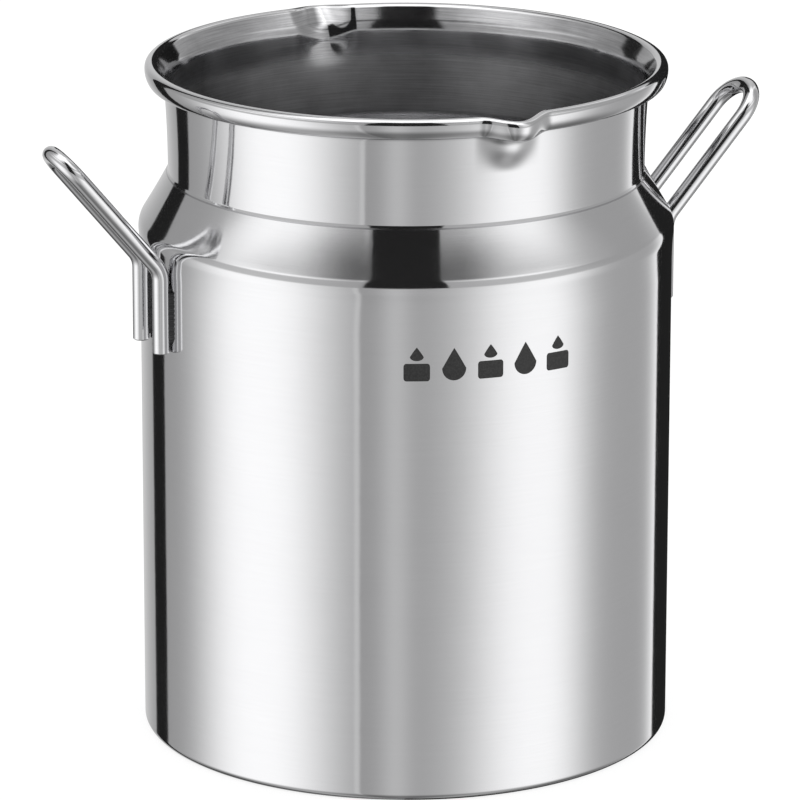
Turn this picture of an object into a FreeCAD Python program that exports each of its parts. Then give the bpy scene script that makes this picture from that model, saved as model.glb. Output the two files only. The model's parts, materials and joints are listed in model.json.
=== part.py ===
import FreeCAD, Part
import math
import os

# Candle melting pot: a drawn sheet steel can, a spun mouth with a rolled rim and two pouring
# lips, and two bent wire loops welded to the wall. Millimetres, +Z up. The origin is the middle
# of the flat base. The loops stand at +X and -X and the lips at +Y and -Y.

# Driving dimensions
BODY_RADIUS = 52.0
HEIGHT = 2.58 * BODY_RADIUS
SHEET = 0.8
WIRE_RADIUS = 1.6

# The can. Angles are a face's outward normal above level, in degrees.
BASE_CORNER = 1.5
WALL_STRAIGHT_TOP = 94.8   # above this the wall swells a little towards the pressed edge
SWELL_HEIGHT = 6.0
SWELL_RADIUS = 60.0
EDGE_RADIUS = 4.6
SHOULDER_STEEP = 31.9      # where the shoulder leaves its edge
SHOULDER_SHALLOW = 28.2    # at the weld
SEAM_Z = 112.2
SEAM_WIDTH = 0.3           # the weld that joins the can and the mouth, along Z

# The mouth
SKIRT_TILT = 22.0          # the short cone between the weld and the neck
NECK_RADIUS = 46.45        # outside, at its narrowest
NECK_FILLET = 0.8
NECK_WIDENING = 0.6        # how much wider the neck is where the rim's flare starts
NECK_END_TILT = 4.6        # its slope there, degrees from upright
FLARE_RADIUS = 5.0         # inner face, between the neck and the flare
FLARE_TILT = 33.0

# The rolled rim, outside: over the crest, down the side and in under the foot
CREST_RADIUS = 1.3
CREST_CENTRE_R = 49.5
CREST_END = 5.0
SIDE_RADIUS = 4.0
SIDE_END = -30.0
FOOT_RADIUS = 0.9
FOOT_END = -160.0          # where the sheet's edge stops

# The pouring lips, pressed by hand, so not quite opposite each other
LIP_MIDDLES = (-89.0, 87.5)
LIP_HALF_ANGLE = 8.5
LIP_REACH = 3.4            # how far out the rim is pressed in the middle of a lip
LIP_DIP = 0.6              # how far down
LIP_TILT = 50.0            # the flare's tilt there
LIP_NECK_REACH = 1.2       # how far out the top of the neck follows it
LIP_FADE_Z = 122.0         # below this the neck isn't pressed
LIP_STATIONS = 15
NECK_STATIONS = 9

# The wire loops
LEG_BOTTOM_Z = 82.1
ELBOW_Z = 98.4
ELBOW_RADIUS = 5.0
WELD_GAP = 0.12            # steel that the weld lays between the wire and the wall
WELD_WIDTH = 2.2
WELD_END_MARGIN = 1.0

# Each loop: the side it stands on, the distance between its legs, its lean from upright, and
# its length from the elbow to the middle of the wire at the far end
LOOPS = {
    "left": {"turn": 180.0, "legs": 10.9, "lean": 39.6, "length": 30.5},
    "right": {"turn": 0.0, "legs": 12.3, "lean": 40.7, "length": 31.2},
}

Z_AXIS = FreeCAD.Vector(0, 0, 1)
ORIGIN = FreeCAD.Vector(0, 0, 0)


def cosd(angle):
    return math.cos(math.radians(angle))


def sind(angle):
    return math.sin(math.radians(angle))


def section_point(r, z):
    """A point of a radial section, drawn in the XZ plane."""
    return FreeCAD.Vector(r, 0, z)


def arc(centre_r, centre_z, radius, start, end):
    """An arc of a radial section, from one angle to another in degrees."""
    points = []
    for angle in (start, (start + end) / 2, end):
        points.append(section_point(centre_r + radius * cosd(angle), centre_z + radius * sind(angle)))
    return Part.Arc(*points).toShape()


def line(start, end):
    return Part.LineSegment(start, end).toShape()


# The wall swells on a wide arc to the pressed edge, which rounds into the shoulder. The shoulder is
# a hollow arc up to the weld, with the radius that brings it to the weld's height.
SWELL_TILT = math.degrees(math.asin(SWELL_HEIGHT / SWELL_RADIUS))
SWELL_CENTRE_R = BODY_RADIUS + SWELL_RADIUS
EDGE_CENTRE_R = SWELL_CENTRE_R - (SWELL_RADIUS + EDGE_RADIUS) * cosd(SWELL_TILT)
EDGE_CENTRE_Z = WALL_STRAIGHT_TOP + (SWELL_RADIUS + EDGE_RADIUS) * sind(SWELL_TILT)
EDGE_END_R = EDGE_CENTRE_R + EDGE_RADIUS * cosd(SHOULDER_STEEP)
EDGE_END_Z = EDGE_CENTRE_Z + EDGE_RADIUS * sind(SHOULDER_STEEP)
SEAM_LOW_Z = SEAM_Z - SEAM_WIDTH / 2
SEAM_HIGH_Z = SEAM_Z + SEAM_WIDTH / 2
SHOULDER_RADIUS = (SEAM_LOW_Z - EDGE_END_Z) / (sind(SHOULDER_STEEP) - sind(SHOULDER_SHALLOW))
SHOULDER_CENTRE_R = EDGE_END_R + SHOULDER_RADIUS * cosd(SHOULDER_STEEP)
SHOULDER_CENTRE_Z = EDGE_END_Z + SHOULDER_RADIUS * sind(SHOULDER_STEEP)
SEAM_LOW_R = SHOULDER_CENTRE_R - SHOULDER_RADIUS * cosd(SHOULDER_SHALLOW)
SEAM_HIGH_R = SEAM_LOW_R - SEAM_WIDTH * math.tan(math.radians(SHOULDER_SHALLOW))

# The skirt is a cone from the weld to the neck's fillet
FILLET_CENTRE_R = NECK_RADIUS + NECK_FILLET
FILLET_START_R = FILLET_CENTRE_R - NECK_FILLET * cosd(SKIRT_TILT)
FILLET_START_Z = SEAM_HIGH_Z + (SEAM_HIGH_R - FILLET_START_R) / math.tan(math.radians(SKIRT_TILT))
NECK_START_Z = FILLET_START_Z + NECK_FILLET * sind(SKIRT_TILT)

# The rolled rim's arcs run on from each other
NECK_END_R = NECK_RADIUS + NECK_WIDENING - SHEET
CREST_CENTRE_Z = HEIGHT - CREST_RADIUS
SIDE_CENTRE_R = CREST_CENTRE_R - (SIDE_RADIUS - CREST_RADIUS) * cosd(CREST_END)
SIDE_CENTRE_Z = CREST_CENTRE_Z - (SIDE_RADIUS - CREST_RADIUS) * sind(CREST_END)
FOOT_CENTRE_R = SIDE_CENTRE_R + (SIDE_RADIUS - FOOT_RADIUS) * cosd(SIDE_END)
FOOT_CENTRE_Z = SIDE_CENTRE_Z + (SIDE_RADIUS - FOOT_RADIUS) * sind(SIDE_END)


def inset_point(r, z, tilt, inset):
    """A section point moved inwards from a face whose normal has that tilt."""
    return section_point(r - inset * cosd(tilt), z - inset * sind(tilt))


def closed_wire(edges):
    """One wire of edges given in any order."""
    return Part.Wire(Part.sortEdges(edges)[0])


def revolved(edges):
    """A full turn of a closed section about the Z axis."""
    return Part.Face(closed_wire(edges)).revolve(ORIGIN, Z_AXIS, 360)


def can_outline(inset):
    """The can's section from the axis to the weld, moved inwards by inset."""
    corner = BODY_RADIUS - BASE_CORNER
    wall = BODY_RADIUS - inset
    return [
        line(section_point(0, inset), section_point(corner, inset)),
        arc(corner, BASE_CORNER, BASE_CORNER - inset, -90, 0),
        line(section_point(wall, BASE_CORNER), section_point(wall, WALL_STRAIGHT_TOP)),
        arc(SWELL_CENTRE_R, WALL_STRAIGHT_TOP, SWELL_RADIUS + inset, 180, 180 - SWELL_TILT),
        arc(EDGE_CENTRE_R, EDGE_CENTRE_Z, EDGE_RADIUS - inset, -SWELL_TILT, SHOULDER_STEEP),
        arc(SHOULDER_CENTRE_R, SHOULDER_CENTRE_Z, SHOULDER_RADIUS + inset,
            180 + SHOULDER_STEEP, 180 + SHOULDER_SHALLOW),
    ]


def end_of(edges, first):
    """The end point of a run of edges, or its first point."""
    edge = edges[0] if first else edges[-1]
    return edge.valueAt(edge.FirstParameter if first else edge.LastParameter)


def body_shell():
    """Base, wall and shoulder, in one sheet."""
    outside = can_outline(0)
    inside = can_outline(SHEET)
    closing = [
        line(end_of(outside, False), end_of(inside, False)),
        line(end_of(inside, True), end_of(outside, True)),
    ]
    return revolved(outside + inside + closing)


def neck_seam_weld():
    """The ring weld, flush with the sheet inside and out."""
    corners = [
        inset_point(SEAM_LOW_R, SEAM_LOW_Z, SHOULDER_SHALLOW, 0),
        inset_point(SEAM_HIGH_R, SEAM_HIGH_Z, SKIRT_TILT, 0),
        inset_point(SEAM_HIGH_R, SEAM_HIGH_Z, SKIRT_TILT, SHEET),
        inset_point(SEAM_LOW_R, SEAM_LOW_Z, SHOULDER_SHALLOW, SHEET),
    ]
    return revolved([line(start, end) for start, end in zip(corners, corners[1:] + corners[:1])])


def smooth_step(low, high, value):
    """0 below low, 1 above high, and an even curve between."""
    share = min(max((value - low) / (high - low), 0), 1)
    return share * share * (3 - 2 * share)


def lip_shape(angle):
    """How far out the lip stands at an angle from its middle, from 0 to 1."""
    if abs(angle) >= LIP_HALF_ANGLE:
        return 0.0
    return 0.5 + 0.5 * math.cos(math.pi * angle / LIP_HALF_ANGLE)


def neck_line(inset, lip, end):
    """One face of the neck, from its narrowest point to the given end."""
    start = NECK_RADIUS - inset
    push = LIP_NECK_REACH * lip
    points = []
    for index in range(NECK_STATIONS):
        share = index / (NECK_STATIONS - 1)
        z = NECK_START_Z + share * (end.z - NECK_START_Z)
        channel = push * smooth_step(LIP_FADE_Z, end.z, z)
        points.append(section_point(start + (end.x - push - start) * share ** 2 + channel, z))
    curve = Part.BSplineCurve()
    curve.interpolate(points)
    return curve.toShape()


def rim_edges(inset, lip):
    """One face of the rim: flare, straight, crest, side and foot. The straight is as long as it
    takes to reach from the neck to the crest."""
    shrink = SHEET - inset
    tilt = FLARE_TILT + (LIP_TILT - FLARE_TILT) * lip
    push = LIP_REACH * lip
    dip = LIP_DIP * lip
    top_r = CREST_CENTRE_R + push - CREST_RADIUS * cosd(tilt)
    top_z = CREST_CENTRE_Z - dip + CREST_RADIUS * sind(tilt)
    flare_r = NECK_END_R + LIP_NECK_REACH * lip + FLARE_RADIUS * cosd(NECK_END_TILT)
    straight = (top_r - flare_r + FLARE_RADIUS * cosd(tilt)) / sind(tilt)
    flare_z = top_z - straight * cosd(tilt) - FLARE_RADIUS * sind(tilt)
    flare = arc(flare_r, flare_z, FLARE_RADIUS - shrink, 180 - NECK_END_TILT, 180 - tilt)
    crest = arc(CREST_CENTRE_R + push, CREST_CENTRE_Z - dip, CREST_RADIUS - shrink, 180 - tilt, CREST_END)
    side = arc(SIDE_CENTRE_R + push, SIDE_CENTRE_Z - dip, SIDE_RADIUS - shrink, CREST_END, SIDE_END)
    foot = arc(FOOT_CENTRE_R + push, FOOT_CENTRE_Z - dip, FOOT_RADIUS - shrink, SIDE_END, FOOT_END)
    return [flare, line(end_of([flare], False), end_of([crest], True)), crest, side, foot]


def collar_section(lip):
    """The closed section of the mouth: skirt, neck and rolled rim, in one sheet. lip is 0 on the
    plain rim and 1 in the middle of a pouring lip."""
    edges = []
    ends = []
    for inset in (0, SHEET):
        seam_end = inset_point(SEAM_HIGH_R, SEAM_HIGH_Z, SKIRT_TILT, inset)
        fillet = arc(FILLET_CENTRE_R, NECK_START_Z, NECK_FILLET + inset, 180 + SKIRT_TILT, 180)
        skirt = line(seam_end, end_of([fillet], True))
        rim = rim_edges(inset, lip)
        neck = neck_line(inset, lip, end_of(rim, True))
        edges += [skirt, fillet, neck] + rim
        ends.append((seam_end, end_of(rim, False)))
    edges.append(line(ends[0][0], ends[1][0]))
    edges.append(line(ends[0][1], ends[1][1]))
    return closed_wire(edges)


def lip_sector(middle):
    """The part of the mouth that holds one lip, lofted through sections either side of it."""
    sections = []
    for index in range(LIP_STATIONS):
        angle = LIP_HALF_ANGLE * (2 * index / (LIP_STATIONS - 1) - 1)
        section = collar_section(lip_shape(angle))
        section.rotate(ORIGIN, Z_AXIS, middle + angle)
        sections.append(section)
    return Part.makeLoft(sections, True, False)


def plain_sector(start, end):
    """The part of the mouth between two lips."""
    section = Part.Face(collar_section(0))
    section.rotate(ORIGIN, Z_AXIS, start)
    return section.revolve(ORIGIN, Z_AXIS, end - start)


def neck_collar():
    """The spun mouth with its lips and rolled rim."""
    front, back = LIP_MIDDLES
    pieces = [
        lip_sector(front),
        plain_sector(front + LIP_HALF_ANGLE, back - LIP_HALF_ANGLE),
        lip_sector(back),
        plain_sector(back + LIP_HALF_ANGLE, front + 360 - LIP_HALF_ANGLE),
    ]
    return pieces[0].multiFuse(pieces[1:])


def leg_centre_radius():
    return BODY_RADIUS + WELD_GAP + WIRE_RADIUS


def leg_x(loop):
    """How far out a leg's centre line stands from the pot's axis, along the loop's direction."""
    return math.sqrt(leg_centre_radius() ** 2 - (loop["legs"] / 2) ** 2)


def elbow_start(loop):
    """The length of leg or slope that the elbow's arc takes."""
    return ELBOW_RADIUS * math.tan(math.radians(loop["lean"]) / 2)


def wire_path(loop):
    """The loop's centre line: up one leg, out along the slope, round the end and back."""
    half = loop["legs"] / 2
    base = leg_x(loop)
    lean = loop["lean"]
    tangent = elbow_start(loop)
    out = FreeCAD.Vector(sind(lean), 0, cosd(lean))
    elbow = FreeCAD.Vector(base, 0, ELBOW_Z)
    along = [
        FreeCAD.Vector(base, 0, LEG_BOTTOM_Z),
        elbow - Z_AXIS * tangent,
        FreeCAD.Vector(base + ELBOW_RADIUS * (1 - cosd(lean / 2)), 0,
                       ELBOW_Z - tangent + ELBOW_RADIUS * sind(lean / 2)),
        elbow + out * tangent,
        elbow + out * (loop["length"] - half),
    ]
    sides = []
    for sign in (-1, 1):
        shift = FreeCAD.Vector(0, sign * half, 0)
        sides.append([point + shift for point in along])
    near, far = sides
    tip = elbow + out * loop["length"]
    edges = [
        line(near[0], near[1]),
        Part.Arc(near[1], near[2], near[3]).toShape(),
        line(near[3], near[4]),
        Part.Arc(near[4], tip, far[4]).toShape(),
        line(far[4], far[3]),
        Part.Arc(far[3], far[2], far[1]).toShape(),
        line(far[1], far[0]),
    ]
    return Part.Wire(edges)


def handle(loop):
    """One bent wire loop."""
    path = wire_path(loop)
    start = path.Vertexes[0].Point
    ring = Part.Wire(Part.makeCircle(WIRE_RADIUS, start, Z_AXIS))
    wire = path.makePipeShell([ring], True, True)
    wire.rotate(ORIGIN, Z_AXIS, loop["turn"])
    return wire


def leg_weld(loop, sign):
    """The weld between one leg and the wall: a strip in the crevice, cut by both."""
    centre = FreeCAD.Vector(leg_x(loop), sign * loop["legs"] / 2, 0)
    bottom = LEG_BOTTOM_Z + WELD_END_MARGIN
    length = ELBOW_Z - elbow_start(loop) - WELD_END_MARGIN - bottom
    depth = WIRE_RADIUS
    strip = Part.makeBox(depth, WELD_WIDTH, length)
    strip.translate(FreeCAD.Vector(BODY_RADIUS - depth / 2, -WELD_WIDTH / 2, bottom))
    strip.rotate(ORIGIN, Z_AXIS, math.degrees(math.atan2(centre.y, centre.x)))
    wall = Part.makeCylinder(BODY_RADIUS, HEIGHT)
    leg = Part.makeCylinder(WIRE_RADIUS, HEIGHT, centre)
    weld = strip.cut(wall).cut(leg)
    weld.rotate(ORIGIN, Z_AXIS, loop["turn"])
    return weld


def single_solid(shape, name):
    """The one valid solid that a sub-part must be."""
    solids = shape.Solids
    if len(solids) != 1:
        raise ValueError(f"{name} is {len(solids)} solids")
    solid = solids[0]
    if not solid.isValid():
        raise ValueError(f"{name} is not valid")
    if solid.Volume < 0:
        solid.reverse()
    return solid


def sub_parts():
    """Every sub-part, by node name."""
    parts = {
        "body_shell": body_shell(),
        "neck_collar": neck_collar(),
        "neck_seam_weld": neck_seam_weld(),
    }
    for side, loop in LOOPS.items():
        parts[f"handle_{side}"] = handle(loop)
        for place, sign in (("front", -1), ("rear", 1)):
            # Turning the left loop half round swaps the side that faces the front.
            flipped = -sign if loop["turn"] else sign
            parts[f"handle_{side}_{place}_weld"] = leg_weld(loop, flipped)
    return parts


os.makedirs("parts", exist_ok=True)
for node, shape in sub_parts().items():
    solid = single_solid(shape, node)
    solid.exportStep(f"parts/{node}.step")
    box = solid.optimalBoundingBox(False)
    print(f"{node}: {solid.Volume:.1f} mm3, X {box.XMin:.1f} to {box.XMax:.1f}, "
          f"Y {box.YMin:.1f} to {box.YMax:.1f}, Z {box.ZMin:.1f} to {box.ZMax:.1f}")
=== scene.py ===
import json
import math

import bmesh
import bpy
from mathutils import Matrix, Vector


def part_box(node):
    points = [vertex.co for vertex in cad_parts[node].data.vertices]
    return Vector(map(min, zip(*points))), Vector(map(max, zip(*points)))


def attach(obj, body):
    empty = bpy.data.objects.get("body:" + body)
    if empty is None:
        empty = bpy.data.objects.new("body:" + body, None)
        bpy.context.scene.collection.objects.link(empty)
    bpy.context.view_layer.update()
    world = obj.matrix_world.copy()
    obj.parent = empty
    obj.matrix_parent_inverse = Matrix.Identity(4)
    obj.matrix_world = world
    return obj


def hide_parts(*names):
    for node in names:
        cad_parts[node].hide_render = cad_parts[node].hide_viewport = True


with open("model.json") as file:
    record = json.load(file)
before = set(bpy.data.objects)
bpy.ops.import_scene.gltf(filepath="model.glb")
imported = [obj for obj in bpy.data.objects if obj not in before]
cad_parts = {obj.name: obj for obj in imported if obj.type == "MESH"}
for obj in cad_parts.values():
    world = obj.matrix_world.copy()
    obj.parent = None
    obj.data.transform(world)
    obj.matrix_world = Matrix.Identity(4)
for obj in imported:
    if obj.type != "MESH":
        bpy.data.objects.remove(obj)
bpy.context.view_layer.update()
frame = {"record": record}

# Candle melting pot: the looks of a drawn steel can, its spun mouth with two pouring lips, and
# two welded wire loops. Lengths are millimetres until a mesh is made, in the CAD's own frame.
MM = 0.001
BODY = "root"

# Main sizes, read from the frame
HEIGHT_IN_RADII = 2.58
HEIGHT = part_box("neck_collar")[1].z / MM
SEAM_HIGH_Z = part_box("neck_seam_weld")[1].z / MM
LEG_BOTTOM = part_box("handle_right")[0].z / MM
BODY_RADIUS = HEIGHT / HEIGHT_IN_RADII

# The can, the same as in the CAD. Angles are a face's outward normal above level.
SHEET = 0.8
BASE_CORNER = 1.5
WALL_STRAIGHT_TOP = 94.8
SWELL_HEIGHT = 6.0
SWELL_RADIUS = 60.0
EDGE_RADIUS = 4.6
SHOULDER_STEEP = 31.9
SHOULDER_SHALLOW = 28.2
SEAM_WIDTH = 0.3

# The mouth
SKIRT_TILT = 22.0
NECK_RADIUS = 46.45
NECK_FILLET = 0.8
NECK_WIDENING = 0.6
NECK_END_TILT = 4.6
NECK_STATIONS = 24
FLARE_RADIUS = 5.0
FLARE_TILT = 33.0

# Rolled rim, outside
CREST_RADIUS = 1.3
CREST_CENTRE_R = 49.5
CREST_END = 5.0
SIDE_RADIUS = 4.0
SIDE_END = -30.0
FOOT_RADIUS = 0.9
FOOT_END = -160.0

# Pouring lips
LIP_MIDDLES = (-89.0, 87.5)
LIP_HALF_ANGLE = 8.5
LIP_REACH = 3.4
LIP_DIP = 0.6
LIP_TILT = 50.0
LIP_NECK_REACH = 1.2
LIP_FADE_Z = 122.0

# Wire loops: where each turns to, the distance between its legs, its lean from upright, and its
# length from the elbow's corner to the far end
WIRE_RADIUS = 1.6
WIRE_BEVEL = 0.22
WELD_GAP = 0.12            # between the wire and the wall
LEG_CENTRE_R = BODY_RADIUS + WELD_GAP + WIRE_RADIUS
ELBOW_Z = 98.4
ELBOW_RADIUS = 5.0
WELD_WIDTH = 2.2
WELD_END_MARGIN = 1.0
WELD_BITE = 0.05           # how far a weld reaches into the wire and the wall
WELD_TAPER = 0.125         # share of a weld's length over which each end narrows
WELD_END_WIDTH = 0.5       # an end's width, as a share of the full width
WELD_RIPPLE_PITCH = 0.9
WELD_RIPPLE_HEIGHT = 0.09
LOOPS = {
    "left": {"turn": 180.0, "legs": 10.9, "lean": 39.6, "length": 30.5},
    "right": {"turn": 0.0, "legs": 12.3, "lean": 40.7, "length": 31.2},
}

# How finely the meshes are cut
TURN_STEP = 1.0            # degrees round the pot, and the same through a lip
LIP_STEP = 0.4
ARC_STEP = 4.0             # degrees along a section's arcs, unless one of the next five is used
CORNER_STEP = 8.0
SWELL_STEP = 0.5
EDGE_STEP = 3.0
SHOULDER_STEP = 0.4
FOOT_STEP = 10.0
BASE_PARTS = 6
WALL_PARTS = 16
FLARE_PARTS = 10
STRAIGHT_PARTS = 3
CREST_PARTS = 24
SUPPORT = 0.12             # a loop this far from where a straight meets an arc keeps it crisp
WIRE_SIDES = 40
ELBOW_PARTS = 8
LOOP_END_STEP = 6          # degrees round a loop's far end
WELD_STEP = 0.15
SHARP_CORNER = 35.0        # degrees; a corner sharper than this isn't shaded smooth

# The camera stands off the front, towards the left loop
CAMERA_TURN = -23.1
CAMERA_PITCH = 16.33
CAMERA_DISTANCE = 22.4     # in body radii, to the point it looks at
AIM_HEIGHT = 1.3           # in body radii
LENS = 265.9
SENSOR = 36.0
CAMERA_ROLL = 0.1
SHIFT_X = -0.0073
SHIFT_Y = -0.0151


def cosd(angle):
    return math.cos(math.radians(angle))


def sind(angle):
    return math.sin(math.radians(angle))


def smooth_step(low, high, value):
    share = min(max((value - low) / (high - low), 0), 1)
    return share * share * (3 - 2 * share)


# Sections: lists of (radius, height)

def arc(centre_r, centre_z, radius, start, end, step=ARC_STEP):
    """Points along an arc of a section, both ends included; angles in degrees."""
    count = max(2, math.ceil(abs(end - start) / step))
    return arc_of(centre_r, centre_z, radius, start, end, count)


def arc_of(centre_r, centre_z, radius, start, end, count):
    """The same with a given number of parts."""
    points = []
    for index in range(count + 1):
        angle = start + (end - start) * index / count
        points.append((centre_r + radius * cosd(angle), centre_z + radius * sind(angle)))
    return points


def straight(start, end, count):
    """Points between two section points, ends left out, with a support close to each end."""
    length = math.dist(start, end)
    shares = [SUPPORT / length]
    for index in range(1, count):
        shares.append(index / count)
    shares.append(1 - SUPPORT / length)
    points = []
    for share in shares:
        r = start[0] + (end[0] - start[0]) * share
        z = start[1] + (end[1] - start[1]) * share
        points.append((r, z))
    return points


# The wall swells on a wide arc to the pressed edge, which rounds into the hollow shoulder
SWELL_TILT = math.degrees(math.asin(SWELL_HEIGHT / SWELL_RADIUS))
SWELL_CENTRE_R = BODY_RADIUS + SWELL_RADIUS
EDGE_CENTRE_R = SWELL_CENTRE_R - (SWELL_RADIUS + EDGE_RADIUS) * cosd(SWELL_TILT)
EDGE_CENTRE_Z = WALL_STRAIGHT_TOP + (SWELL_RADIUS + EDGE_RADIUS) * sind(SWELL_TILT)
EDGE_END_R = EDGE_CENTRE_R + EDGE_RADIUS * cosd(SHOULDER_STEEP)
EDGE_END_Z = EDGE_CENTRE_Z + EDGE_RADIUS * sind(SHOULDER_STEEP)
SEAM_LOW_Z = SEAM_HIGH_Z - SEAM_WIDTH
SHOULDER_RADIUS = (SEAM_LOW_Z - EDGE_END_Z) / (sind(SHOULDER_STEEP) - sind(SHOULDER_SHALLOW))
SHOULDER_CENTRE_R = EDGE_END_R + SHOULDER_RADIUS * cosd(SHOULDER_STEEP)
SHOULDER_CENTRE_Z = EDGE_END_Z + SHOULDER_RADIUS * sind(SHOULDER_STEEP)
SEAM_LOW_R = SHOULDER_CENTRE_R - SHOULDER_RADIUS * cosd(SHOULDER_SHALLOW)
SEAM_HIGH_R = SEAM_LOW_R - SEAM_WIDTH * math.tan(math.radians(SHOULDER_SHALLOW))

# The skirt is a cone from the weld to the neck's fillet
FILLET_CENTRE_R = NECK_RADIUS + NECK_FILLET
FILLET_START_R = FILLET_CENTRE_R - NECK_FILLET * cosd(SKIRT_TILT)
FILLET_START_Z = SEAM_HIGH_Z + (SEAM_HIGH_R - FILLET_START_R) / math.tan(math.radians(SKIRT_TILT))
NECK_START_Z = FILLET_START_Z + NECK_FILLET * sind(SKIRT_TILT)

# The rolled rim's arcs run on from each other
NECK_END_R = NECK_RADIUS + NECK_WIDENING - SHEET
CREST_CENTRE_Z = HEIGHT - CREST_RADIUS
SIDE_CENTRE_R = CREST_CENTRE_R - (SIDE_RADIUS - CREST_RADIUS) * cosd(CREST_END)
SIDE_CENTRE_Z = CREST_CENTRE_Z - (SIDE_RADIUS - CREST_RADIUS) * sind(CREST_END)
FOOT_CENTRE_R = SIDE_CENTRE_R + (SIDE_RADIUS - FOOT_RADIUS) * cosd(SIDE_END)
FOOT_CENTRE_Z = SIDE_CENTRE_Z + (SIDE_RADIUS - FOOT_RADIUS) * sind(SIDE_END)


def inset_point(r, z, tilt, inset):
    """A section point moved inwards from a face whose normal has that tilt."""
    return (r - inset * cosd(tilt), z - inset * sind(tilt))


def can_face(inset):
    """One face of the can, from the axis along the base, up the wall and over the shoulder."""
    corner = BODY_RADIUS - BASE_CORNER
    wall = BODY_RADIUS - inset
    base_corner = arc(corner, BASE_CORNER, BASE_CORNER - inset, -90, 0, CORNER_STEP)
    base = straight((0, inset), base_corner[0], BASE_PARTS)
    side = straight((wall, BASE_CORNER), (wall, WALL_STRAIGHT_TOP), WALL_PARTS)
    swell = arc(SWELL_CENTRE_R, WALL_STRAIGHT_TOP, SWELL_RADIUS + inset,
                180, 180 - SWELL_TILT, SWELL_STEP)
    edge = arc(EDGE_CENTRE_R, EDGE_CENTRE_Z, EDGE_RADIUS - inset,
               -SWELL_TILT, SHOULDER_STEEP, EDGE_STEP)
    shoulder = arc(SHOULDER_CENTRE_R, SHOULDER_CENTRE_Z, SHOULDER_RADIUS + inset,
                   180 + SHOULDER_STEEP, 180 + SHOULDER_SHALLOW, SHOULDER_STEP)
    return [(0, inset)] + base + base_corner + side + swell + edge[1:] + shoulder[1:]


def flare_tilt(lip):
    """How far the flare leans out. lip is 0 on the plain rim and 1 in the middle of a pouring lip."""
    return FLARE_TILT + (LIP_TILT - FLARE_TILT) * lip


def flare_face(inset, lip):
    """One face of the flare and the straight above it."""
    shrink = SHEET - inset
    tilt = flare_tilt(lip)
    top_r = CREST_CENTRE_R + LIP_REACH * lip - CREST_RADIUS * cosd(tilt)
    top_z = CREST_CENTRE_Z - LIP_DIP * lip + CREST_RADIUS * sind(tilt)
    flare_r = NECK_END_R + LIP_NECK_REACH * lip + FLARE_RADIUS * cosd(NECK_END_TILT)
    reach = (top_r - flare_r + FLARE_RADIUS * cosd(tilt)) / sind(tilt)
    flare_z = top_z - reach * cosd(tilt) - FLARE_RADIUS * sind(tilt)
    flare = arc_of(flare_r, flare_z, FLARE_RADIUS - shrink,
                   180 - NECK_END_TILT, 180 - tilt, FLARE_PARTS)
    return flare + straight(flare[-1], bead_face(inset, lip)[0], STRAIGHT_PARTS)


def bead_face(inset, lip):
    """One face of the rolled rim: crest, side and foot."""
    shrink = SHEET - inset
    push = LIP_REACH * lip
    dip = LIP_DIP * lip
    crest = arc_of(CREST_CENTRE_R + push, CREST_CENTRE_Z - dip, CREST_RADIUS - shrink,
                   180 - flare_tilt(lip), CREST_END, CREST_PARTS)
    side = arc(SIDE_CENTRE_R + push, SIDE_CENTRE_Z - dip, SIDE_RADIUS - shrink,
               CREST_END, SIDE_END)
    foot = arc(FOOT_CENTRE_R + push, FOOT_CENTRE_Z - dip, FOOT_RADIUS - shrink,
               SIDE_END, FOOT_END, FOOT_STEP)
    return crest + side[1:] + foot[1:]


def mouth_face(inset, lip):
    """One face of the mouth, from the weld up the neck and round the rim."""
    fillet = arc(FILLET_CENTRE_R, NECK_START_Z, NECK_FILLET + inset, 180 + SKIRT_TILT, 180)
    seam_end = inset_point(SEAM_HIGH_R, SEAM_HIGH_Z, SKIRT_TILT, inset)
    flare = flare_face(inset, lip)
    end_r, end_z = flare[0]
    start = NECK_RADIUS - inset
    push = LIP_NECK_REACH * lip
    neck = []
    for index in range(1, NECK_STATIONS):
        share = index / NECK_STATIONS
        z = NECK_START_Z + share * (end_z - NECK_START_Z)
        channel = push * smooth_step(LIP_FADE_Z, end_z, z)
        neck.append((start + (end_r - push - start) * share ** 2 + channel, z))
    return [seam_end] + fillet + neck + flare + bead_face(inset, lip)


def lip_shape(angle):
    """How far out a lip stands at this angle round the pot, from 0 to 1."""
    nearest = min(abs((angle - middle + 180) % 360 - 180) for middle in LIP_MIDDLES)
    if nearest >= LIP_HALF_ANGLE:
        return 0.0
    return 0.5 + 0.5 * math.cos(math.pi * nearest / LIP_HALF_ANGLE)


# Meshes

def turned(point, angle):
    """A section point turned round Z, in metres."""
    r, z = point
    return Vector((r * cosd(angle), r * sind(angle), z)) * MM


def grid_mesh(name, rows, ring, closed, inner_columns=range(0)):
    """A smooth mesh through rows of points. ring joins the last row to the first, and closed joins
    the last column to the first. Faces in inner_columns take the second material."""
    mesh = bpy.data.meshes.new(name)
    columns = len(rows[0])
    points = [point for row in rows for point in row]
    faces = []
    second = []
    for i in range(len(rows) if ring else len(rows) - 1):
        following = (i + 1) % len(rows)
        for j in range(columns if closed else columns - 1):
            beside = (j + 1) % columns
            faces.append((i * columns + j, following * columns + j,
                          following * columns + beside, i * columns + beside))
            second.append(1 if j in inner_columns else 0)
    mesh.from_pydata(points, [], faces)
    mesh.polygons.foreach_set("material_index", second)
    return finished(name, mesh)


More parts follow.
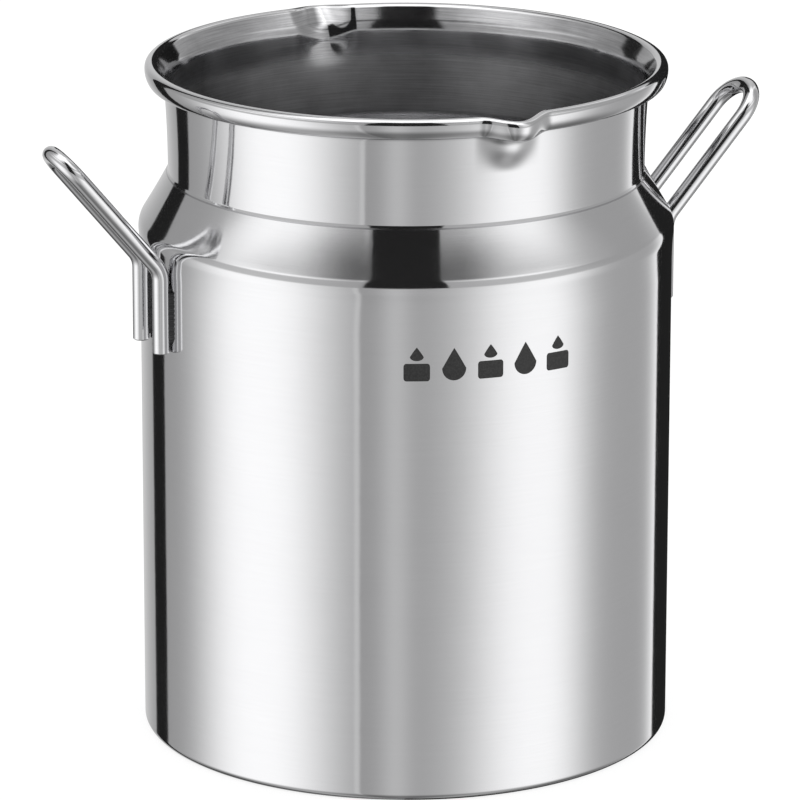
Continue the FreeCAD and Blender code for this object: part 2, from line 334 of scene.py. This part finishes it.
def finished(name, mesh):
    """Merges poles, turns faces outwards, shades smooth but for real corners, and links the object."""
    work = bmesh.new()
    work.from_mesh(mesh)
    bmesh.ops.remove_doubles(work, verts=work.verts, dist=1e-7)
    bmesh.ops.recalc_face_normals(work, faces=work.faces)
    for face in work.faces:
        face.smooth = True
    work.to_mesh(mesh)
    work.free()
    mesh.set_sharp_from_angle(angle=math.radians(SHARP_CORNER))
    piece = bpy.data.objects.new(name, mesh)
    bpy.context.scene.collection.objects.link(piece)
    return piece


def even_angles(step):
    count = round(360 / step)
    return [360 * index / count for index in range(count)]


def mouth_angles():
    """Angles round the mouth, finer through the lips."""
    angles = []
    angle = -180.0
    while angle < 180.0 - 1e-6:
        angles.append(angle)
        nearest = min(abs(angle + LIP_STEP / 2 - middle) for middle in LIP_MIDDLES)
        near_lip = nearest < LIP_HALF_ANGLE + 1
        angle = round(angle + (LIP_STEP if near_lip else TURN_STEP), 6)
    return angles


def can_mesh():
    """The drawn can: base, wall and shoulder."""
    outside = can_face(0)
    outline = outside + can_face(SHEET)[::-1]
    rows = [[turned(point, angle) for point in outline] for angle in even_angles(TURN_STEP)]
    return grid_mesh("can_shell", rows, True, False, range(len(outside), len(outline)))


def mouth_mesh():
    """The spun mouth: neck, pouring lips and rolled rim."""
    rows = []
    for angle in mouth_angles():
        lip = lip_shape(angle)
        inside = mouth_face(SHEET, lip)
        rows.append([turned(point, angle) for point in inside + mouth_face(0, lip)[::-1]])
    bead_points = len(bead_face(SHEET, 0))
    return grid_mesh("spun_mouth", rows, True, True, range(len(inside) - bead_points))


def seam_mesh():
    """The ring weld, ground flush inside and out."""
    outline = [
        (SEAM_LOW_R, SEAM_LOW_Z),
        (SEAM_HIGH_R, SEAM_HIGH_Z),
        inset_point(SEAM_HIGH_R, SEAM_HIGH_Z, SKIRT_TILT, SHEET),
        inset_point(SEAM_LOW_R, SEAM_LOW_Z, SHOULDER_SHALLOW, SHEET),
    ]
    rows = [[turned(point, angle) for point in outline] for angle in even_angles(TURN_STEP)]
    return grid_mesh("ring_weld", rows, True, True)


def elbow_tangent(loop):
    """How far the elbow's arc reaches along the wire on each side of its corner."""
    return ELBOW_RADIUS * math.tan(math.radians(loop["lean"]) / 2)


def loop_path(loop):
    """The wire's centre line as (point, direction) pairs, in the loop's own frame."""
    half = loop["legs"] / 2
    base = math.sqrt(LEG_CENTRE_R ** 2 - half ** 2)
    lean = loop["lean"]
    tangent = elbow_tangent(loop)
    up = Vector((0, 0, 1))
    out = Vector((sind(lean), 0, cosd(lean)))
    elbow = Vector((base, 0, ELBOW_Z))
    side = Vector((0, half, 0))
    leg_top = elbow - up * tangent
    bend_centre = leg_top + Vector((ELBOW_RADIUS, 0, 0))
    slope_end = elbow + out * (loop["length"] - half)
    climb = [(Vector((base, 0, LEG_BOTTOM)), up), (leg_top, up)]
    for angle in [lean * part / ELBOW_PARTS for part in range(1, ELBOW_PARTS)]:
        spoke = Vector((-cosd(angle), 0, sind(angle)))
        climb.append((bend_centre + spoke * ELBOW_RADIUS, Vector((sind(angle), 0, cosd(angle)))))
    climb.append((elbow + out * tangent, out))
    climb.append((slope_end, out))
    path = [(point - side, direction) for point, direction in climb]
    for angle in range(LOOP_END_STEP, 180, LOOP_END_STEP):
        point = slope_end - side * cosd(angle) + out * half * sind(angle)
        path.append((point, out * cosd(angle) + Vector((0, sind(angle), 0))))
    path += [(point + side, -direction) for point, direction in reversed(climb)]
    return path


def wire_end(point, way, inward):
    """Stations from the middle of a square-cut end, round its broken edge, to the wire's side."""
    return [
        (point, way, 0.0),
        (point, way, WIRE_RADIUS - WIRE_BEVEL - SUPPORT),
        (point, way, WIRE_RADIUS - WIRE_BEVEL),
        (point + way * WIRE_BEVEL * inward, way, WIRE_RADIUS),
        (point + way * (WIRE_BEVEL + SUPPORT) * inward, way, WIRE_RADIUS),
    ]


def wire_mesh(name, loop):
    """A bent wire with square-cut ends whose edges are broken."""
    path = loop_path(loop)
    stations = wire_end(*path[0], 1)
    stations += [(point, way, WIRE_RADIUS) for point, way in path[1:-1]]
    stations += wire_end(*path[-1], -1)[::-1]
    across = Vector((0, 1, 0))
    before = stations[0][1]
    rows = []
    for point, way, radius in stations:
        across = before.rotation_difference(way) @ across
        before = way
        other = way.cross(across)
        row = []
        for index in range(WIRE_SIDES):
            angle = 360 * index / WIRE_SIDES
            place = point + (across * cosd(angle) + other * sind(angle)) * radius
            row.append(about_z(place, loop["turn"]) * MM)
        rows.append(row)
    return grid_mesh(name, rows, False, True)


def about_z(point, angle):
    """A point turned round Z."""
    c = cosd(angle)
    s = sind(angle)
    return Vector((point.x * c - point.y * s, point.x * s + point.y * c, point.z))


def weld_mesh(name, loop, sign):
    """The weld bead in the crevice between one leg and the wall, rippled along its length."""
    bottom = LEG_BOTTOM + WELD_END_MARGIN
    top = ELBOW_Z - elbow_tangent(loop) - WELD_END_MARGIN
    leg_angle = math.degrees(math.asin(sign * loop["legs"] / 2 / LEG_CENTRE_R))
    shares = (-1, -0.5, 0, 0.5, 1)
    rows = []
    count = round((top - bottom) / WELD_STEP)
    for index in range(count + 1):
        z = bottom + (top - bottom) * index / count
        from_end = min(index, count - index) / count
        width = min(1, WELD_END_WIDTH + (1 - WELD_END_WIDTH) * from_end / WELD_TAPER)
        ripple = WELD_RIPPLE_HEIGHT * abs(sind(180 * z / WELD_RIPPLE_PITCH))
        half = (WELD_WIDTH / 2 + ripple) * width
        row = []
        for y in [half * share for share in shares]:
            row.append(Vector((math.sqrt(BODY_RADIUS ** 2 - y ** 2) - WELD_BITE, y, z)))
        for y in [half * share for share in reversed(shares)]:
            row.append(Vector((LEG_CENTRE_R - math.sqrt(WIRE_RADIUS ** 2 - y ** 2) + WELD_BITE, y, z)))
        rows.append([about_z(point, leg_angle + loop["turn"]) * MM for point in row])
    for row in (rows[0], rows[-1]):
        middle = sum(row, Vector()) / len(row)
        row[:] = [middle] * len(row)
    return grid_mesh(name, rows, False, True)


# Printed mark: a row of plain candle-making pictograms. A shape gives the bottom and top of its
# upright slice at u, from -1 to 1 across it, as shares of the mark's height.

MARK_MIDDLE = -5.2          # degrees round the pot from the front
MARK_HEIGHT = 6.6
MARK_BOTTOM = 84.1
MARK_PITCH = 7.1
MARK_SLICES = 28
INK_DEPTH = 0.03            # the patches reach this far into the wall and out of it
PILLAR_HEIGHT = 0.52
PILLAR_CORNER_HEIGHT = 0.1
PILLAR_CORNER_WIDTH = 0.2


def pillar(u):
    """A plain pillar candle with rounded corners."""
    into_corner = max(0, (abs(u) - (1 - PILLAR_CORNER_WIDTH)) / PILLAR_CORNER_WIDTH)
    corner = PILLAR_CORNER_HEIGHT * (1 - math.sqrt(max(0, 1 - into_corner ** 2)))
    return corner, PILLAR_HEIGHT - corner


def teardrop(middle, belly, tip, hollow, fullness):
    """A shape that is round below its middle and narrows to a tip above it."""
    def slice_at(u):
        bulge = math.sqrt(max(0, 1 - u * u))
        return middle - belly * bulge, middle + tip * (1 - abs(u)) ** hollow * bulge ** fullness
    return slice_at


# Each pictogram is a list of shapes and their half widths
FLAME = teardrop(middle=0.72, belly=0.12, tip=0.28, hollow=0.8, fullness=0.4)
CANDLE = [(pillar, 2.5), (FLAME, 1.3)]
DROP = [(teardrop(middle=0.36, belly=0.36, tip=0.6, hollow=0.9, fullness=0.3), 2.3)]
PICTOGRAMS = [CANDLE, DROP, CANDLE, DROP, CANDLE]


def ink_patch(shape, half_width, middle):
    """One inked shape bent round the wall, as points and faces counted from 0."""
    points = []
    faces = []
    for index in range(MARK_SLICES + 1):
        u = math.sin(math.pi * (index / MARK_SLICES - 0.5))
        angle = MARK_MIDDLE - 90 + math.degrees((middle + u * half_width) / BODY_RADIUS)
        for share in shape(u):
            z = MARK_BOTTOM + MARK_HEIGHT * share
            points.append(turned((BODY_RADIUS - INK_DEPTH, z), angle))
            points.append(turned((BODY_RADIUS + INK_DEPTH, z), angle))
    for index in range(MARK_SLICES):
        a = 4 * index
        b = a + 4
        faces += [(a + 1, b + 1, b + 3, a + 3), (a, a + 2, b + 2, b),
                  (a, b, b + 1, a + 1), (a + 2, a + 3, b + 3, b + 2)]
    return points, faces


def mark_mesh():
    """Ink on the wall: candles with drops between them."""
    points = []
    faces = []
    for number, pictogram in enumerate(PICTOGRAMS):
        middle = (number - (len(PICTOGRAMS) - 1) / 2) * MARK_PITCH
        for shape, half_width in pictogram:
            patch_points, patch_faces = ink_patch(shape, half_width, middle)
            faces += [tuple(corner + len(points) for corner in face) for face in patch_faces]
            points += patch_points
    mesh = bpy.data.meshes.new("printed_mark")
    mesh.from_pydata(points, [], faces)
    return finished("printed_mark", mesh)


# Node building

class Nodes:
    """Short names for adding and joining shader nodes."""

    def __init__(self, tree):
        self.tree = tree
        tree.nodes.clear()

    def add(self, kind, inputs=(), **settings):
        node = self.tree.nodes.new(kind)
        for name, value in settings.items():
            setattr(node, name, value)
        for name, value in dict(inputs).items():
            self.put(node.inputs[name], value)
        return node

    def put(self, socket, value):
        if isinstance(value, bpy.types.NodeSocket):
            self.tree.links.new(value, socket)
        else:
            socket.default_value = value

    def math(self, operation, *values):
        node = self.add("ShaderNodeMath", operation=operation)
        for socket, value in zip(node.inputs, values):
            self.put(socket, value)
        return node.outputs[0]

    def total(self, values):
        result = values[0]
        for value in values[1:]:
            result = self.math("ADD", result, value)
        return result

    def ramp(self, value, low, high, start=0.0, end=1.0, shape="LINEAR"):
        """A change from start to end as value goes from low to high."""
        inputs = {"Value": value, "From Min": low, "From Max": high, "To Min": start, "To Max": end}
        return self.add("ShaderNodeMapRange", inputs, interpolation_type=shape).outputs["Result"]

    def step(self, value, low, high, start=0.0, end=1.0):
        """The same, but gentle at both ends."""
        return self.ramp(value, low, high, start, end, "SMOOTHSTEP")

    def dot(self, vector, direction):
        node = self.add("ShaderNodeVectorMath", operation="DOT_PRODUCT")
        self.put(node.inputs[0], vector)
        self.put(node.inputs[1], direction)
        return node.outputs["Value"]

    def noise(self, vector, scale, detail=2.0, roughness=0.5):
        inputs = {"Vector": vector, "Scale": scale, "Detail": detail, "Roughness": roughness}
        return self.add("ShaderNodeTexNoise", inputs).outputs["Fac"]

    def stretched(self, vector, scale):
        node = self.add("ShaderNodeVectorMath", operation="MULTIPLY")
        self.put(node.inputs[0], vector)
        self.put(node.inputs[1], scale)
        return node.outputs[0]

    def grey(self, tone):
        return self.add("ShaderNodeCombineColor", {"Red": tone, "Green": tone, "Blue": tone}).outputs[0]


# Studio. Azimuths are degrees round the pot from the camera's side, to the right as the camera sees.

# Soft cards: middle, spread to the left and to the right, how flat the top is, level, and the
# share of the level that is left between the card's two rows and the ceiling
CARDS = {
    "left_window": {"azimuth": -67, "left": 34, "right": 36, "power": 2.6,
                    "level": 0.70, "between": 0.30},
    "right_window": {"azimuth": 60, "left": 33, "right": 25, "power": 2.5,
                     "level": 0.60, "between": 0.30},
    "front_strip": {"azimuth": -4.5, "left": 7, "right": 7, "power": 2.0,
                    "level": 0.13, "between": 0.3},
    "right_fill": {"azimuth": 70, "left": 90, "right": 80, "power": 4.0,
                   "level": 0.06, "between": 0.5},
    "back_wall": {"azimuth": 180, "left": 30, "right": 30, "power": 3.0,
                  "level": 0.20, "between": 1.0},
    "left_edge_line": {"azimuth": -21, "left": 1.2, "right": 1.2, "power": 3.0,
                       "level": 0.10, "between": 0.0},
    "right_edge_line": {"azimuth": 140, "left": 7.5, "right": 7.5, "power": 1.5,
                        "level": 0.44, "between": 0.3},
}
BASE_LEVEL = 0.27
LOW_ROW_END = (3.0, 9.0)           # elevations between which the low row of cards ends
HIGH_ROW_START = (36.0, 40.0)      # those between which the high row begins
HIGH_ROW_END = (42.0, 50.0)        # and ends
HIGH_ROW_DROP = 0.13               # degrees that the high row sinks for each degree off the front
CEILING_START = (51.0, 54.0)       # the cards' light comes back above these elevations
# A soft shade over the camera: the azimuths between which it fades to the sides, and the
# elevations between which it grows
FRONT_SHADE = {"strength": 0.78, "inner": 26, "outer": 62, "low": 40, "high": 50}
OVERHEAD_START = (55.0, 80.0)      # elevations between which the light from straight above grows
OVERHEAD_LEVEL = 0.8
BELOW_FADE = (-50.0, -22.0)        # elevations between which the light from below fades
BELOW_LEVEL = 0.35                 # the share of it that is left
LEFT_WINDOW_EDGE = -19.6           # azimuth where the left window is cut off sharply
LEFT_WINDOW_SOFTNESS = 0.5
# Black flags: middle, half width, and the elevations between which each stands
FLAGS = {
    "left_flag": {"azimuth": -136.8, "half_width": 7.2, "low": -90, "high": 70},
    "right_flag": {"azimuth": 160.5, "half_width": 20.0, "low": -90, "high": 24},
    "front_block": {"azimuth": 0, "half_width": 18, "low": 8, "high": 66},
}
FLAG_LEVEL = 0.012                 # what is still seen on a flag
FLAG_SOFTNESS = 0.8
STEEL_REFLECTS = 0.74              # the steel's base colour, so that levels are those seen on it
PLAIN_LEVEL = 1.1                  # the world as dull surfaces and the camera see it
WHITE = (1.0, 1.0, 1.0, 1.0)


def angle_from(nodes, azimuth, middle):
    """The signed angle from middle, wrapped to a half turn either way."""
    return nodes.math("WRAP", nodes.math("SUBTRACT", azimuth, middle), 180, -180)


def card_light(nodes, azimuth, rows, card):
    """The light from one soft card."""
    away = angle_from(nodes, azimuth, card["azimuth"])
    to_right = nodes.math("GREATER_THAN", away, 0)
    spread = nodes.math("MULTIPLY_ADD", to_right, card["right"] - card["left"], card["left"])
    share = nodes.math("DIVIDE", nodes.math("ABSOLUTE", away), spread)
    fall = nodes.math("POWER", share, card["power"])
    light = nodes.math("EXPONENT", nodes.math("MULTIPLY", fall, -1))
    upright = nodes.math("MULTIPLY_ADD", rows, 1 - card["between"], card["between"])
    return nodes.math("MULTIPLY", nodes.math("MULTIPLY", light, upright), card["level"])


def card_rows(nodes, elevation, raised):
    """1 where a row of cards or the ceiling is, 0 between them."""
    low_row = nodes.step(elevation, *LOW_ROW_END, 1.0, 0.0)
    high_row_start = nodes.step(raised, *HIGH_ROW_START)
    high_row_end = nodes.step(raised, *HIGH_ROW_END, 0.0, -1.0)
    ceiling = nodes.step(raised, *CEILING_START)
    return nodes.total([low_row, high_row_start, high_row_end, ceiling])


def front_shade(nodes, azimuth, raised):
    """The share of light that the soft shade over the camera leaves."""
    away = nodes.math("ABSOLUTE", azimuth)
    across = nodes.step(away, FRONT_SHADE["inner"], FRONT_SHADE["outer"], 1.0, 0.0)
    over = nodes.step(raised, FRONT_SHADE["low"], FRONT_SHADE["high"])
    under = nodes.step(raised, *CEILING_START, 1.0, 0.0)
    cover = nodes.math("MULTIPLY", across, nodes.math("MULTIPLY", over, under))
    return nodes.math("MULTIPLY_ADD", cover, -FRONT_SHADE["strength"], 1.0)


def flag_shade(nodes, azimuth, elevation, flag):
    """1 where the flag doesn't stand, and 0 on it."""
    away = nodes.math("ABSOLUTE", angle_from(nodes, azimuth, flag["azimuth"]))
    edge = flag["half_width"]
    across = nodes.step(away, edge - FLAG_SOFTNESS / 2, edge + FLAG_SOFTNESS / 2, 1.0, 0.0)
    over = nodes.step(elevation, flag["low"] - FLAG_SOFTNESS, flag["low"] + FLAG_SOFTNESS)
    under = nodes.step(elevation, flag["high"] - FLAG_SOFTNESS, flag["high"] + FLAG_SOFTNESS,
                       1.0, 0.0)
    cover = nodes.math("MULTIPLY", across, nodes.math("MULTIPLY", over, under))
    return nodes.math("SUBTRACT", 1, cover)


def studio_level(nodes):
    """The brightness that steel sees in each direction."""
    direction = nodes.add("ShaderNodeTexCoord").outputs["Generated"]
    toward = nodes.dot(direction, (sind(CAMERA_TURN), -cosd(CAMERA_TURN), 0))
    rightward = nodes.dot(direction, (cosd(CAMERA_TURN), sind(CAMERA_TURN), 0))
    azimuth = nodes.math("DEGREES", nodes.math("ARCTAN2", rightward, toward))
    elevation = nodes.math("DEGREES", nodes.math("ARCSINE", nodes.dot(direction, (0, 0, 1))))
    raised = nodes.math("MULTIPLY_ADD", nodes.math("ABSOLUTE", azimuth), HIGH_ROW_DROP, elevation)
    rows = card_rows(nodes, elevation, raised)
    lights = {name: card_light(nodes, azimuth, rows, card) for name, card in CARDS.items()}
    cut = nodes.step(azimuth, LEFT_WINDOW_EDGE - LEFT_WINDOW_SOFTNESS,
                     LEFT_WINDOW_EDGE + LEFT_WINDOW_SOFTNESS, 1.0, 0.0)
    lights["left_window"] = nodes.math("MULTIPLY", lights["left_window"], cut)
    level = nodes.math("ADD", nodes.total(list(lights.values())), BASE_LEVEL)
    level = nodes.math("MULTIPLY", level, front_shade(nodes, azimuth, raised))
    overhead = nodes.step(elevation, *OVERHEAD_START, 0.0, OVERHEAD_LEVEL)
    level = nodes.math("ADD", level, overhead)
    below = nodes.step(elevation, *BELOW_FADE, BELOW_LEVEL, 1.0)
    level = nodes.math("MULTIPLY", level, below)
    for flag in FLAGS.values():
        level = nodes.math("MULTIPLY", level, flag_shade(nodes, azimuth, elevation, flag))
    return nodes.math("ADD", level, FLAG_LEVEL)


def studio():
    """A world that is soft cards and flags to shiny surfaces, and plain white elsewhere."""
    world = bpy.data.worlds.new("studio")
    world.use_nodes = True
    nodes = Nodes(world.node_tree)
    level = studio_level(nodes)
    shiny = nodes.add("ShaderNodeBackground", {"Color": WHITE})
    nodes.put(shiny.inputs["Strength"], nodes.math("DIVIDE", level, STEEL_REFLECTS))
    plain = nodes.add("ShaderNodeBackground", {"Color": WHITE, "Strength": PLAIN_LEVEL})
    ray = nodes.add("ShaderNodeLightPath")
    mix = nodes.add("ShaderNodeMixShader", {0: ray.outputs["Is Glossy Ray"]})
    nodes.put(mix.inputs[1], plain.outputs[0])
    nodes.put(mix.inputs[2], shiny.outputs[0])
    nodes.add("ShaderNodeOutputWorld", {"Surface": mix.outputs[0]})
    bpy.context.scene.world = world


def new_material(name):
    """An empty material and the nodes to fill it with."""
    material = bpy.data.materials.new(name)
    material.use_nodes = True
    return material, Nodes(material.node_tree)


FLOOR_RADIUS = 3.0          # metres
FLOOR_SIDES = 96
FLOOR_GLOW = 0.78
FLOOR_GREY = 0.28           # together they come out white where no shadow falls


def floor():
    """A plain white table top, which the steel doesn't reflect."""
    bpy.ops.mesh.primitive_circle_add(vertices=FLOOR_SIDES, radius=FLOOR_RADIUS, fill_type="NGON")
    top = bpy.context.object
    top.name = "floor"
    material, nodes = new_material("floor_white")
    glow = nodes.add("ShaderNodeEmission", {"Color": WHITE, "Strength": FLOOR_GLOW})
    matt = nodes.add("ShaderNodeBsdfDiffuse", {"Color": (FLOOR_GREY, FLOOR_GREY, FLOOR_GREY, 1.0)})
    both = nodes.add("ShaderNodeAddShader", {0: glow.outputs[0], 1: matt.outputs[0]})
    nodes.add("ShaderNodeOutputMaterial", {"Surface": both.outputs[0]})
    top.data.materials.append(material)
    top.visible_glossy = False


def camera():
    """Stands where a photographer would, a little above the rim and well back."""
    reach = CAMERA_DISTANCE * BODY_RADIUS * MM
    aim = Vector((0, 0, AIM_HEIGHT * BODY_RADIUS * MM))
    level_way = Vector((sind(CAMERA_TURN), -cosd(CAMERA_TURN), 0))
    place = aim + reach * (level_way * cosd(CAMERA_PITCH) + Vector((0, 0, sind(CAMERA_PITCH))))
    data = bpy.data.cameras.new("camera")
    data.sensor_width = SENSOR
    data.lens = LENS
    data.shift_x = SHIFT_X
    data.shift_y = SHIFT_Y
    data.clip_start = 0.05
    data.clip_end = 20
    eye = bpy.data.objects.new("camera", data)
    eye.location = place
    eye.rotation_euler = (aim - place).to_track_quat("-Z", "Y").to_euler()
    eye.rotation_euler.rotate_axis("Z", math.radians(CAMERA_ROLL))
    bpy.context.scene.collection.objects.link(eye)
    bpy.context.scene.camera = eye
    bpy.context.scene.view_settings.view_transform = "Standard"


# Materials

SLOT_COLOURS = {entry["slot"]: entry["base_color"] for entry in frame["record"]["materials"]}


def slot_colour(slot):
    return tuple(SLOT_COLOURS[slot]) + (1.0,)


NOISE_RANGE = (0.3, 0.7)    # the part of a noise that is used
BRUSH_SCALE = (90, 90, 4200)
RIPPLE_SCALE = (150, 150, 110)
CLOUD_SCALE = 55.0
POLISHED_ROUGHNESS = 0.07
POLISH_START = LIP_FADE_Z + 3
POLISH_FADE = 4.0           # height over which the satin inside turns into the polished flare

# Each steel: its roughness and tones from one end of the noise to the other, how strongly the
# turning lines stretch its reflections, and the depths of its brushing and of its ripples
STEELS = {
    "polished_sheet": {"slot": "polished_steel", "roughness": (POLISHED_ROUGHNESS, 0.10),
                       "anisotropic": 0.75, "brush": 0.0012, "ripple": 0.010, "tones": (0.96, 1.0)},
    "satin_inside": {"slot": "satin_steel", "roughness": (0.28, 0.38),
                     # The satin inside's wide tone swings are painted light: brighter and darker
                     # patches that paint soft highlights inside the pot
                     "anisotropic": 0.6, "brush": 0.006, "ripple": 0.006, "tones": (0.62, 1.22)},
    "bright_wire": {"slot": "wire_steel", "roughness": (0.07, 0.13),
                    "anisotropic": 0.0, "brush": 0.0, "ripple": 0.012, "tones": (0.92, 1.0)},
    "weld_metal": {"slot": "weld_steel", "roughness": (0.3, 0.45),
                   "anisotropic": 0.0, "brush": 0.0, "ripple": 0.03, "tones": (0.1, 0.4)},
    "ground_weld": {"slot": "weld_steel", "roughness": (0.15, 0.25),
                    "anisotropic": 0.6, "brush": 0.0, "ripple": 0.01, "tones": (1.1, 1.3)},
}


def polished_from(nodes, place, cloud, roughness, satin):
    """The roughness where a satin surface turns into a polished one, with an uneven edge."""
    height = nodes.add("ShaderNodeSeparateXYZ", {"Vector": place}).outputs["Z"]
    uneven = nodes.math("MULTIPLY_ADD", cloud, POLISH_FADE * MM, height)
    polish = nodes.step(uneven, POLISH_START * MM, (POLISH_START + POLISH_FADE) * MM)
    smoother = nodes.math("MULTIPLY_ADD", polish, POLISHED_ROUGHNESS - satin, roughness)
    return nodes.math("MAXIMUM", smoother, POLISHED_ROUGHNESS)


def steel(name, polished_flare=False):
    """Steel with brushing round the pot's axis, slow ripples from forming, and a faintly uneven tone;
    on the satin inside the tone swings widely as painted soft highlights.
    """
    look = STEELS[name]
    material, nodes = new_material(name)
    place = nodes.add("ShaderNodeTexCoord").outputs["Object"]
    brush = nodes.noise(nodes.stretched(place, BRUSH_SCALE), 1.0, detail=4.0, roughness=0.6)
    ripple = nodes.noise(nodes.stretched(place, RIPPLE_SCALE), 1.0, detail=3.0)
    cloud = nodes.noise(place, CLOUD_SCALE, detail=5.0, roughness=0.65)
    shader = nodes.add("ShaderNodeBsdfPrincipled", {
        "Metallic": 1.0, "Anisotropic": look["anisotropic"], "Anisotropic Rotation": 0.25})
    # Tone from the brushing and the clouds: faint unevenness on most steels, painted soft highlights on
    # the satin inside
    mixed = nodes.math("ADD", nodes.math("MULTIPLY", brush, 0.5), nodes.math("MULTIPLY", cloud, 0.5))
    tone = nodes.ramp(mixed, *NOISE_RANGE, *look["tones"])
    colour = nodes.add("ShaderNodeMix", data_type="RGBA", blend_type="MULTIPLY")
    colour.inputs["Factor"].default_value = 1.0
    nodes.put(colour.inputs["A"], slot_colour(look["slot"]))
    nodes.put(colour.inputs["B"], nodes.grey(tone))
    nodes.put(shader.inputs["Base Color"], colour.outputs["Result"])
    roughness = nodes.ramp(cloud, *NOISE_RANGE, *look["roughness"])
    if polished_flare:
        roughness = polished_from(nodes, place, cloud, roughness, look["roughness"][0])
    nodes.put(shader.inputs["Roughness"], roughness)
    tangent = nodes.add("ShaderNodeTangent", direction_type="RADIAL", axis="Z")
    nodes.put(shader.inputs["Tangent"], tangent.outputs[0])
    slow = nodes.add("ShaderNodeBump", {
        "Strength": 1.0, "Distance": look["ripple"] * MM, "Height": ripple})
    fine = nodes.add("ShaderNodeBump", {
        "Strength": 1.0, "Distance": look["brush"] * MM, "Height": brush, "Normal": slow.outputs[0]})
    nodes.put(shader.inputs["Normal"], fine.outputs[0])
    nodes.add("ShaderNodeOutputMaterial", {"Surface": shader.outputs[0]})
    return material


INK_GRAIN = 3000.0
INK_TONES = (0.012, 0.03)
INK_ROUGHNESS = 0.55


def ink():
    """Matt black screen print, a little uneven."""
    material, nodes = new_material("printed_ink")
    place = nodes.add("ShaderNodeTexCoord").outputs["Object"]
    tone = nodes.step(nodes.noise(place, INK_GRAIN), 0.3, 0.8, *INK_TONES)
    shader = nodes.add("ShaderNodeBsdfPrincipled", {
        "Base Color": nodes.grey(tone), "Roughness": INK_ROUGHNESS})
    nodes.add("ShaderNodeOutputMaterial", {"Surface": shader.outputs[0]})
    return material


def show(piece, materials, nodes=()):
    """Gives a piece its materials and its body, and hides the CAD nodes it stands for."""
    for material in materials:
        piece.data.materials.append(material)
    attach(piece, BODY)
    if nodes:
        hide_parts(*nodes)


def build():
    """Makes every piece and gives it its looks."""
    polished = steel("polished_sheet")
    satin = steel("satin_inside", polished_flare=True)
    wire = steel("bright_wire")
    weld = steel("weld_metal")
    ground = steel("ground_weld")

    show(can_mesh(), [polished, satin], ["body_shell"])
    show(mouth_mesh(), [polished, satin], ["neck_collar"])
    show(seam_mesh(), [ground], ["neck_seam_weld"])
    for side, loop in LOOPS.items():
        show(wire_mesh(f"wire_loop_{side}", loop), [wire], [f"handle_{side}"])
        # A loop that is turned half round has its front leg on the other side of its own frame
        front = 1 if loop["turn"] else -1
        for place, sign in (("front", front), ("rear", -front)):
            bead = weld_mesh(f"weld_bead_{side}_{place}", loop, sign)
            show(bead, [weld], [f"handle_{side}_{place}_weld"])
    show(mark_mesh(), [ink()])


build()
floor()
studio()
camera()
